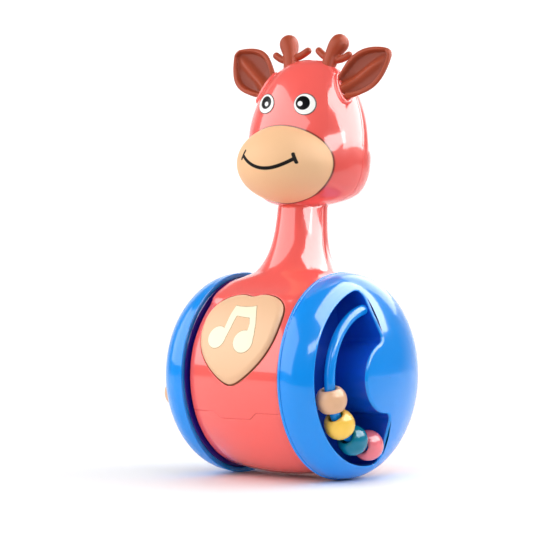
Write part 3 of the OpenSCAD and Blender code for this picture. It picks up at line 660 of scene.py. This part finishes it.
# disc laid on the head: rings of a slanted ellipse, a low dome with a rounded edge
def addEye(name, side):
    own = eyes[name]
    share, fall = np.array(eyes["edge"]).T
    flat = np.linspace(0, eyes["flat"], 34)
    ring = np.concatenate([flat, share])[:, None]
    drop = np.concatenate([0 * flat, fall])[:, None]
    a = fullTurn(96)
    u, v = ring * eyes["size"] * np.cos(a), ring * eyes["size"] * np.sin(a)
    x = own["x"] + u * own["wide"] + v * own["slant"]
    z = own["rise"] + v * own["tall"]
    y = headFront(x, z) - eyes["lift"] * (1 + eyes["dome"] * (1 - ring ** 2)) + drop
    grid = np.stack([side * x, y, z], -1)
    px, pz, pr = own["pupil"]
    sx, sz, sr = own["shine"]
    values = {"pupil": np.hypot(u - px, v - pz) - pr, "shine": np.hypot(u - sx, v - sz) - sr,
              "rim": eyes["size"] * (eyes["flat"] - ring) + 0 * u}
    addGrid(name + "EyeDisc", grid, "eye", "deer", "eye_white", [name + "_eye"], values, flip=side < 0)


paint(looks["eye"], [("rim", 0.0, 0.12, "#5a5450"), ("pupil", 0.0, 0.12, "#08080a"),
                     ("shine", 0.0, 0.12, "#f4f4f4")])
for name, side in sides:
    addEye(name, side)


# ellipsoid that meets the head: rows run from its front pole to where it enters the head,
# found by halving the angle, and round in at the end
def muzzleGrid():
    a = fullTurn(260)

    def at(t):
        d = np.stack([np.sin(t) * np.cos(a), -np.cos(t), np.sin(t) * np.sin(a)], -1)
        return muzzleMiddle + muzzleSize * d

    low, high = np.zeros_like(a), np.full_like(a, np.pi * 0.62)
    for _ in range(40):
        t = (low + high) / 2
        p = at(t)
        out = p[:, 1] < headFront(p[:, 0], p[:, 2])
        low, high = np.where(out, t, low), np.where(out, high, t)
    share = np.concatenate([np.linspace(0, 0.97, 130), np.linspace(0.97, 1, 14)[1:]])
    grid = np.array([at(low * s) for s in share])
    left = np.linalg.norm(grid - grid[-1:], axis=2)
    inward = unit(muzzleMiddle + (0, muzzle["inward"], 0) - grid)
    grid = grid + inward * (edgeFall(left, muzzle["edge"]) - muzzle["proud"])[..., None]
    return np.concatenate([grid, grid[-1:] + inward[-1:] * muzzle["turnIn"]], 0)


# distance to the smile's line: a parabola with a short tick at each end
def smileDistance(p):
    c, k = cosSin(muzzle["smileTilt"])
    dx, dz = p[..., 0] - muzzle["smileX"], p[..., 2] - muzzle["smileZ"]
    x, z = np.abs(dx * c + dz * k), dz * c - dx * k
    t = np.linspace(0, muzzle["smileHalf"], 60)
    bow = np.stack([t, muzzle["smileDeep"] * (t / muzzle["smileHalf"]) ** 2], 1)
    tick = bow[-1] + muzzle["tickSpot"] + np.linspace(-1, 1, 14)[:, None] * muzzle["tickHalf"]
    best = np.full(x.shape, np.inf)
    for line, half in ((bow, muzzle["line"]), (tick, muzzle["line"] * muzzle["tickShare"])):
        for qx, qz in line:
            best = np.minimum(best, np.hypot(x - qx, z - qz) - half)
    return best


grid = muzzleGrid()
# painted shade: a dark band round the muzzle's edge where it meets the head; the smile is printed
paint(looks["muzzle"], [("edge", 0.95, 0.3, "#6f432e"), ("smile", 0.0, 0.1, "#0a0606")])
addGrid("muzzlePiece", grid, "muzzle", "deer", "cream_abs", ["muzzle"],
        {"smile": smileDistance(grid), "edge": np.linalg.norm(grid - grid[-2:-1], axis=2)})

print("stage: ears and antlers")
ear = dict(length=29.0, width=21.5, root=6.45, thick=2.6, tipThick=1.5, thinHalf=2.2, start=2.0, into=-0.12,
           rootEnd=0.04, rootRun=0.06, tipStart=0.9,
           belly=0.38, tipPower=3.6, tipRound=0.55, square=0.8, puff=0.9, curl=3.2, curlMiddle=0.6,
           rim=1.7, rimEase=1.4, dish=2.1, ridgeX=0.8, ridgeHalf=2.2, ridgeFade=0.45,
           spot=(20.6, 7.6, 127.796), turns=(("z", -18.0), ("y", 53.0), ("z", 10.0)),
           lip=1.3, lipHalf=7.2, lipThick=2.7, lipRun=(-9, 16))


# leaf: half width along the ear, rounded to the tip, with a curl across;
# the front is dished inside a rounded rim, with a ridge up the middle
def earGrid():
    tip = ear["tipStart"] + (1 - ear["tipStart"]) * np.sin(sweep(0, 90, 30))[1:]
    t = np.concatenate([np.linspace(ear["into"], ear["tipStart"], 90), tip])[:, None]
    tt = np.clip(t, 0, 1)
    leaf = 1 - ear["belly"] + ear["belly"] * np.sin(np.pi * tt)
    half = ear["width"] / 2 * leaf * np.maximum(1 - tt ** ear["tipPower"], 0) ** ear["tipRound"]
    half = half + (ear["root"] - half) * smooth((ear["rootEnd"] - t) / ear["rootRun"])
    a = fullTurn(160)
    c, s = np.cos(a), np.sin(a)
    x = half * signPower(c, ear["square"])
    thick = ear["tipThick"] + (ear["thick"] - ear["tipThick"]) * (1 - tt)
    thick = thick * np.minimum(1, half / ear["thinHalf"])
    curl = ear["curl"] * np.minimum(1, 4 * tt) * (1 - tt)
    bow = ear["curlMiddle"] - (x / np.maximum(half, 0.1)) ** 2
    inside = np.minimum(half - np.abs(x), (1 - tt) * ear["length"])
    ridge = np.exp(-((x - ear["ridgeX"]) / ear["ridgeHalf"]) ** 2) * smooth((1 - tt) / ear["ridgeFade"])
    dish = smooth((inside - ear["rim"]) / ear["rimEase"]) * (s < 0) * (1 - ridge)
    y = thick * signPower(s, ear["puff"]) + curl * bow + ear["dish"] * dish
    z = ear["start"] + (ear["length"] - ear["start"]) * t
    return np.stack([x, y, np.broadcast_to(z, x.shape)], -1), -dish


# points turned about one axis after another, then moved to a spot
def turnPoints(p, spot, steps):
    for axis, angle in steps:
        c, s = cosSin(angle)
        m = {"y": [[c, 0, s], [0, 1, 0], [-s, 0, c]], "z": [[c, -s, 0], [s, c, 0], [0, 0, 1]]}[axis]
        p = p @ np.array(m).T
    return p + np.array(spot)


# lip of the head round an ear: a tube where an oval bar along the ear leaves the head
def earLip(side):
    f = np.linspace(0, 2 * np.pi, 90)
    z = np.linspace(*ear["lipRun"], 251)[:, None]
    bar = np.stack([ear["lipHalf"] * np.cos(f) + 0 * z, ear["lipThick"] * np.sin(f) + 0 * z, z + 0 * f], -1)
    bar = leanOver(turnPoints(bar, ear["spot"], ear["turns"]) * (side, 1, 1))
    x, y, z = np.moveaxis(bar, -1, 0)
    wide = np.maximum(bodyA(z), 0.01)
    depth = np.maximum(np.where(y < body["headBack"], bodyB(z, -1), bodyB(z, 1)), 0.01)
    within = (x / wide) ** 2 + ((y - body["headBack"]) / depth) ** 2 < 1
    last = len(bar) - 1 - np.argmax(within[::-1], 0)
    return tube(bar[last, np.arange(len(f))], ear["lip"], 16)


# painted shade: a darker brown deep in each ear's dish, where the hollow lies in shade
paint(looks["brown"], [("dish", -0.6, 0.4, "#883822")])
for name, side in sides:
    grid, dish = earGrid()
    grid = leanOver(turnPoints(grid, ear["spot"], ear["turns"]) * (side, 1, 1))
    addGrid(name + "EarLeaf", grid, "brown", "deer", "brown_tpe", [name + "_ear"], {"dish": dish},
            flip=side > 0)
    addPiece(name + "EarLip", *earLip(side), "coral", "deer", "coral_abs")

antler = dict(spot=(10.5, 11.5, 139.164), tall=14.2, tip=8.8, stalk=3.4, swellStart=0.45, swellRun=0.5,
              root=(0, 0, -2.5), bend=(0.6, 0.8, 0.5), end=(3.8, 2.8, 1.0),  # heights as shares of the top
              prongs=(((1.0, 0.6, 0.3), (-7.4, 2.6, 0.68)), ((2.0, 1.0, 0.24), (10.0, 1.8, 0.46))),
              prong=1.75, sag=0.8, shift=-0.8, voxel=0.00032, ease=14, easeShare=0.5)


# round end of a bar: path and radius of a half ball that goes on from the last point
def roundEnd(path, radius):
    t = np.linspace(0, 1, 14)[1:, None]
    ahead = unit(path[-1] - path[-2])
    return path[-1] + ahead * t * radius * 0.999, radius * root(1 - t[:, 0] ** 2, 1e-4)


# a bowed stalk that swells to a ball, and two sagging prongs: round bars,
# melted together by a fine voxel skin and a little smoothing
def addAntler(name, side):
    ball = antler["tip"] / 2
    top = antler["tall"] - ball
    t = np.linspace(0, 1, 30)[:, None]
    bend, end = np.array([antler["bend"], antler["end"]]) * (1, 1, top)
    stalk = curve(np.array(antler["root"]), bend, end, t)
    swell = smooth((t[:, 0] - antler["swellStart"]) / antler["swellRun"])
    cap, capRadius = roundEnd(stalk, ball)
    radius = np.concatenate([antler["stalk"] + (ball - antler["stalk"]) * swell, capRadius])
    bars = [tube(np.vstack([stalk, cap]), radius, across=(1, 0, 0))]
    for prong in antler["prongs"]:
        p, q = np.array(prong) * (1, 1, top)
        straight = p + t * (q - p)
        cap, capRadius = roundEnd(straight, antler["prong"])
        line = straight - np.array([0, 0, antler["sag"]]) * np.sin(np.pi * t)
        radius = np.concatenate([np.full(len(line), antler["prong"]), capRadius])
        bars.append(tube(np.vstack([line, cap]), radius, 16, (0, 1, 0)))
    starts = np.cumsum([0] + [len(p) for p, f in bars]).tolist()
    faces = [[i + start for i in q][::side] for (p, f), start in zip(bars, starts) for q in f]
    points = (np.vstack([p for p, f in bars]) + np.array(antler["spot"])) * (side, 1, 1)
    points = leanOver(points) + (antler["shift"], 0, 0)
    piece = addPiece(name + "AntlerHorn", points, faces, "brown", "deer", "brown_tpe", [name + "_antler"])
    melt = piece.modifiers.new("melt", "REMESH")
    melt.mode = "VOXEL"
    melt.voxel_size = antler["voxel"]
    melt.use_smooth_shade = True
    ease = piece.modifiers.new("ease", "SMOOTH")
    ease.factor = antler["easeShare"]
    ease.iterations = antler["ease"]


for name, side in sides:
    addAntler(name, side)

print("stage: wheels")
wheel = dict(radius=45.1, thick=26.5, tread=3.0, start=26.4, core=30.0,
             lowEdge=1.5, lowRound=0.06, lowWall=1.0, lowRows=(2.6, 2.1),
             outer=38.5, hub=15.5, up=80.0, down=99.5, round=3.5, edge=1.1,  # window
             floor=1.85, floorOver=0.8, floorPast=3.0, back=43.2, bore=2.1,
             ring=45.46, ringWide=1.4, ringHole=43.3, ringLow=0.4, ringHigh=0.35,
             backRows=(10, 20, 30, 40), backEdge=((0.6, 0), (0.25, 0.06), (0.05, 0.22), (0, 1.2)),
             wallShares=(0.06, 0.34, 0.67, 1.0), rodArc=29.6, rodRadius=2.35, rodDepth=4.85, rodPast=2.2)


# dome's height above the wheel's inner face: an ellipse over the tread
def domeRise(r):
    return wheel["tread"] + (wheel["thick"] - wheel["tread"]) * root(1 - (r / wheel["radius"]) ** 2)


rodRise = float(domeRise(wheel["rodArc"])) - wheel["rodDepth"]


# across the wheel's face: forward and up for a radius and an angle above the front
def facePoint(r, a):
    return np.stack([-r * np.cos(a), r * np.sin(a)], -1)


# ring sector with rounded corners, each a quadratic curve, run anticlockwise
def windowOutline():
    r0, r1, c = wheel["hub"], wheel["outer"], wheel["round"]
    a0, a1 = -math.radians(wheel["down"]), math.radians(wheel["up"])
    t = np.linspace(0, 1, 14)[:, None]

    def corner(*spots):
        return curve(*(facePoint(*spot) for spot in spots), t)

    d0, d1 = c / r0, c / r1
    parts = [facePoint(r1, np.linspace(a0 + d1, a1 - d1, 160)),
             corner((r1, a1 - d1), (r1, a1), (r1 - c, a1)), corner((r0 + c, a1), (r0, a1), (r0, a1 - d0)),
             facePoint(r0, np.linspace(a1 - d0, a0 + d0, 90)),
             corner((r0, a0 + d0), (r0, a0), (r0 + c, a0)), corner((r1 - c, a0), (r1, a0), (r1, a0 + d1))]
    p = np.vstack(parts)
    keep = np.linalg.norm(p - np.roll(p, 1, 0), axis=1) > 1e-3
    return p[keep][::-1]


# place in space of a point on the wheel's face, u out from its inner face
def wheelPoint(side, u, p):
    return np.stack([side * (wheel["start"] + u), p[..., 0], p[..., 1]], -1)


# surface turned round the axle from a half section of (radius, distance outwards)
def turned(side, section, angles):
    r, u = np.array(section).T
    return wheelPoint(side, u[:, None] + 0 * angles, facePoint(r[:, None], angles[None]))


# dome turned from its half section, with the window cut out
def addDome(name, side):
    f, e = sweep(0.2, 90, 110), sweep(0, 90, 6)
    big, low, soft = wheel["radius"], wheel["lowEdge"], wheel["lowRound"]
    bulge = wheel["thick"] - wheel["tread"]
    section = np.vstack([np.stack([big * np.sin(f), wheel["tread"] + bulge * np.cos(f)], 1),
                         [(big, u) for u in wheel["lowRows"]],
                         np.stack([big - soft + soft * np.cos(e), low - soft * np.sin(e)], 1),
                         [(big - wheel["lowWall"], low - soft)]])
    grid = turned(side, section, sweep(0, 360, 421))
    field = np.full(grid.shape[:2], farAway)
    reach = 100  # rows that the window can touch
    edge = growOutline(windowOutline(), wheel["edge"])
    field[:reach] = outlineDistance(grid[:reach, :, 1:].reshape(-1, 2), edge).reshape(reach, -1)
    points, normals, faces = clipGrid(grid, outward(grid, (side * wheel["core"], 0, 0)), field)
    addPiece(name + "WheelDome", points, [q[::side] for q in faces], "blue", name + "_wheel", "blue_abs",
             [name + "_wheel_dome"], normals=normals)


# window: its edge rolls over in a quarter round, then a wall runs down to the tray's floor
def addWindow(name, side):
    window = windowOutline()
    rows = []
    for k in sweep(0, 90, 9):
        line = growOutline(window, wheel["edge"] * (1 - math.sin(k)))
        rows.append(wheelPoint(side, domeRise(np.hypot(*line.T)) - wheel["edge"] * (1 - math.cos(k)), line))
    deepest = domeRise(np.hypot(*window.T)) - wheel["edge"]
    for k in wheel["wallShares"]:
        rows.append(wheelPoint(side, deepest + (wheel["floor"] - deepest) * k, window))
    # the lip keeps the blue; the wall and the floor take the blue darkened as painted shade
    for part, grid, look in (("WindowLip", rows[:8], "blue"), ("WindowWall", rows[7:], "pocket")):
        addGrid(name + part, np.array(grid), look, name + "_wheel", "blue_abs", flip=side > 0)
    r = np.linspace(wheel["hub"] - wheel["floorOver"], wheel["outer"] + wheel["floorOver"], 12)
    a = sweep(-wheel["down"] - wheel["floorPast"], wheel["up"] + wheel["floorPast"], 60)
    grid = turned(side, np.stack([r, 0 * r + wheel["floor"]], 1), a)
    addGrid(name + "WindowFloor", grid, "pocket", name + "_wheel", "blue_abs", [name + "_wheel_tray"],
            closed=False, flip=side < 0)


# flat back with a rounded edge, and the tread ring beside it, both turned
def addBack(name, side):
    section = [(r, 0) for r in (wheel["bore"], *wheel["backRows"])]
    section += [(wheel["back"] - r, u) for r, u in wheel["backEdge"]]
    grid = turned(side, section, fullTurn(160))
    addGrid(name + "WheelBack", grid, "navy", name + "_wheel", "navy_abs", flip=side > 0)
    far, wide, hole = wheel["ring"], wheel["ringWide"], wheel["ringHole"]
    e, low, high = sweep(0, 90, 6), wheel["ringLow"], wheel["ringHigh"]
    section = np.vstack([[(hole, 1.0), (hole, 0.2), (hole + 0.2, 0)],
                         np.stack([far - low + low * np.sin(e), low - low * np.cos(e)], 1),
                         np.stack([far - high + high * np.cos(e), wide - high + high * np.sin(e)], 1),
                         [(hole + 0.6, wide)]])
    grid = turned(side, section, fullTurn(288))
    addGrid(name + "TreadRing", grid, "blue", name + "_wheel", "blue_abs", [name + "_tread_ring"],
            flip=side > 0)


# rod that the beads hang on: a round bar along an arc
def addRod(name, side):
    a = sweep(-wheel["down"] - wheel["rodPast"], wheel["up"] + wheel["rodPast"], 120)
    path = wheelPoint(side, np.full(len(a), rodRise), facePoint(wheel["rodArc"], a))
    points, faces = tube(path, wheel["rodRadius"], 32, (1, 0, 0))
    addPiece(name + "RodBar", points, faces, "blue", name + "_wheel", "blue_abs", [name + "_bead_rod"])


bead = dict(radius=6.7, half=5.0, hole=3.3, lip=0.5, ease=0.1, gap=0.46, spare=0.3, count=72,
            shades=("Coral", "Teal", "Yellow", "Beige"))  # from the bottom up
beadEnd = math.sqrt(bead["radius"] ** 2 - bead["half"] ** 2)  # radius of the flat end


# ball cut flat at both ends, as a closed section of (along the rod, out from it) from the hole's middle:
# round lip, flat end, eased corner, belly, and back
def beadSection():
    big, half, lip = bead["radius"], bead["half"], bead["lip"]
    q = sweep(0, 90, 7)
    inner = np.stack([half - lip + lip * np.sin(q), bead["hole"] + lip - lip * np.cos(q)], 1)
    slope = math.atan2(half, beadEnd) - bead["ease"]
    t = np.linspace(0, 1, 8)[:, None]
    low, high = np.array([half, beadEnd - lip]), np.array([half, beadEnd])
    far = np.array([big * math.sin(slope), big * math.cos(slope)])
    corner = curve(low, high, far, t)
    a = np.linspace(slope, 0, 22)[1:]
    belly = np.stack([big * np.sin(a), big * np.cos(a)], 1)
    side = np.vstack([[[0, bead["hole"]]], inner, corner, belly])
    return np.vstack([side, side[-2:0:-1] * (-1, 1)])


# the section turned round the rod at the bead's place on the arc
def addBead(name, side, order, shade):
    pitch = 2 * math.atan((2 * bead["half"] + bead["gap"]) / 2 / (wheel["rodArc"] - beadEnd))
    a = pitch / 2 - math.radians(wheel["down"] - bead["spare"]) + order * pitch
    middle = wheelPoint(side, np.array(rodRise), facePoint(wheel["rodArc"], np.array(a)))
    along = np.array([0, math.sin(a), math.cos(a)])
    out = np.array([0, -math.cos(a), math.sin(a)])
    s = beadSection()
    k = fullTurn(bead["count"])
    ring = np.cos(k)[:, None] * out + np.sin(k)[:, None] * np.array([side, 0, 0])
    grid = middle + s[:, 0, None, None] * along + s[:, 1, None, None] * ring
    faces = gridFaces(len(s) + 1, bead["count"], closed=True, flip=side > 0) % (len(s) * bead["count"])
    addPiece(f"{name}BeadBall{order + 1}", grid, faces, "bead" + shade,
             f"{name}_bead_body_{order + 1}", "bead_" + shade.lower(), [f"{name}_bead_{order + 1}"])


for name, side in sides:
    addDome(name, side)
    addWindow(name, side)
    addBack(name, side)
    addRod(name, side)
    for order, shade in enumerate(bead["shades"]):
        addBead(name, side, order, shade)

print("stage: camera and light")
view = dict(az=37.38, away=850.0, rise=44.0, yaw=0.782, pitch=0.268, lens=128.24, sensor=36.0, far=20.0)


# direction seen from the toy: degrees round from its front and degrees up
def heading(around, up=0.0):
    (c, s), (level, rise) = cosSin(around), cosSin(up)
    return np.array([s * level, -c * level, rise])


# puts a camera or lamp at a spot, with its own axes along three directions
def stand(thing, right, up, back, spot):
    rows = np.vstack([np.stack([right, up, back, spot], 1), (0, 0, 0, 1)])
    thing.matrix_world = Matrix(rows.tolist())
    bpy.context.scene.collection.objects.link(thing)


# long lens at the spot fitted to the photo, turned a little off the toy's middle
def addCamera():
    data = bpy.data.cameras.new("camera")
    data.lens = view["lens"]
    data.sensor_width = view["sensor"]
    data.clip_end = view["far"]
    camera = bpy.data.objects.new("camera", data)
    back = heading(view["az"] + view["yaw"], -view["pitch"])
    right = heading(view["az"] + view["yaw"] + 90)
    spot = heading(view["az"]) * view["away"] + (0, 0, view["rise"])
    stand(camera, right, np.cross(back, right), back, place(spot)[0])
    bpy.context.scene.camera = camera


addCamera()
studio = dict(world=0.15, paper=0.9, rough=0.7,
              near=-0.32, flat=0.9, sweep=1.2, bend=0.5, wall=2.6, half=2.5, wallSpot=0.3)  # metres
wall = studio["sweep"] + studio["bend"]
# boxes that shine give the sharp patches, and those that fill light the surfaces;
# degrees round and up, metres away, width and height in metres
lamps = dict(
    keyBox=dict(around=-36, up=25, away=0.62, width=1.05, height=0.56, power=3.0, parts="shine", roll=-4),
    sideBox=dict(around=113, up=42, away=0.34, width=0.5, height=0.42, power=9.5, parts="shine"),
    rimBox=dict(around=182, up=30, away=0.36, width=0.22, height=0.26, power=2.6, parts="shine"),
    cheekBox=dict(around=63, up=8, away=0.25, width=0.21, height=0.046, power=9.0, parts="shine", roll=8,
                  aim=(0.024, 0, 0.147)),
    keyFill=dict(around=-36, up=27, away=0.8, width=1.3, height=0.75, power=1.7),
    frontFill=dict(around=30, up=35, away=1.4, width=1.4, height=1.4, power=1.2),
    rightFill=dict(around=132, up=22, away=1.2, width=1.0, height=1.0, power=2.3),
    topFill=dict(around=100, up=80, away=1.2, width=1.2, height=1.2, power=1.1),
    wallFill=dict(around=view["az"], up=50, away=1.1, width=2.4, height=1.0, power=2.2,
                  aim=heading(view["az"] + 180) * wall + (0, 0, studio["wallSpot"])))


# flat softbox that faces the spot it is aimed at
def addSoftbox(name, around, up, away, width, height, power, parts="fill", roll=0.0, aim=(0, 0, 0.1)):
    data = bpy.data.lights.new(name, "AREA")
    data.shape = "RECTANGLE"
    data.size, data.size_y = width, height
    data.energy = power * width * height * math.pi
    lamp = bpy.data.objects.new(name, data)
    back = heading(around, up)
    side = unit(np.cross([0, 0, 1.0], back))
    over = np.cross(back, side)
    c, s = cosSin(roll)
    stand(lamp, side * c + over * s, over * c - side * s, back, np.array(aim) + back * away)
    lamp.visible_camera = False
    lamp.visible_diffuse = parts == "fill"
    lamp.visible_glossy = parts == "shine"


for name, own in lamps.items():
    addSoftbox(name, **own)

world = bpy.data.worlds.new("studio")
bpy.context.scene.world = world
world.use_nodes = True
setInputs(world.node_tree.nodes["Background"], {"Color": (1, 1, 1, 1), "Strength": studio["world"]})

print("stage: floor")


# paper that runs back flat, bends up in a quarter circle and goes on as a wall, as seen from the camera
def addFloor():
    t = sweep(0, 90, 24)
    bend = studio["bend"]
    run = np.concatenate([[studio["near"], 0, studio["flat"]], studio["sweep"] + bend * np.sin(t), [wall]])
    rise = np.concatenate([[0, 0, 0], bend * (1 - np.cos(t)), [studio["wall"]]])
    cols = np.linspace(-studio["half"], studio["half"], 9)
    lift = rise[:, None, None] * np.array([0, 0, 1.0])
    grid = run[:, None, None] * -heading(view["az"]) + cols[None, :, None] * heading(view["az"] + 90) + lift
    paper = bpy.data.materials.new("white paper sweep")  # matt, so that shadows stay soft and plain
    paper.use_nodes = True
    setInputs(paper.node_tree.nodes["Principled BSDF"],
              {"Base Color": [studio["paper"]] * 3 + [1], "Roughness": studio["rough"]})
    floor = bpy.data.objects.new("floor", smoothMesh("floor", grid, gridFaces(*grid.shape[:2]), paper))
    bpy.context.scene.collection.objects.link(floor)


addFloor()
bpy.context.scene.view_settings.view_transform = "Standard"

print("stage: finishing")
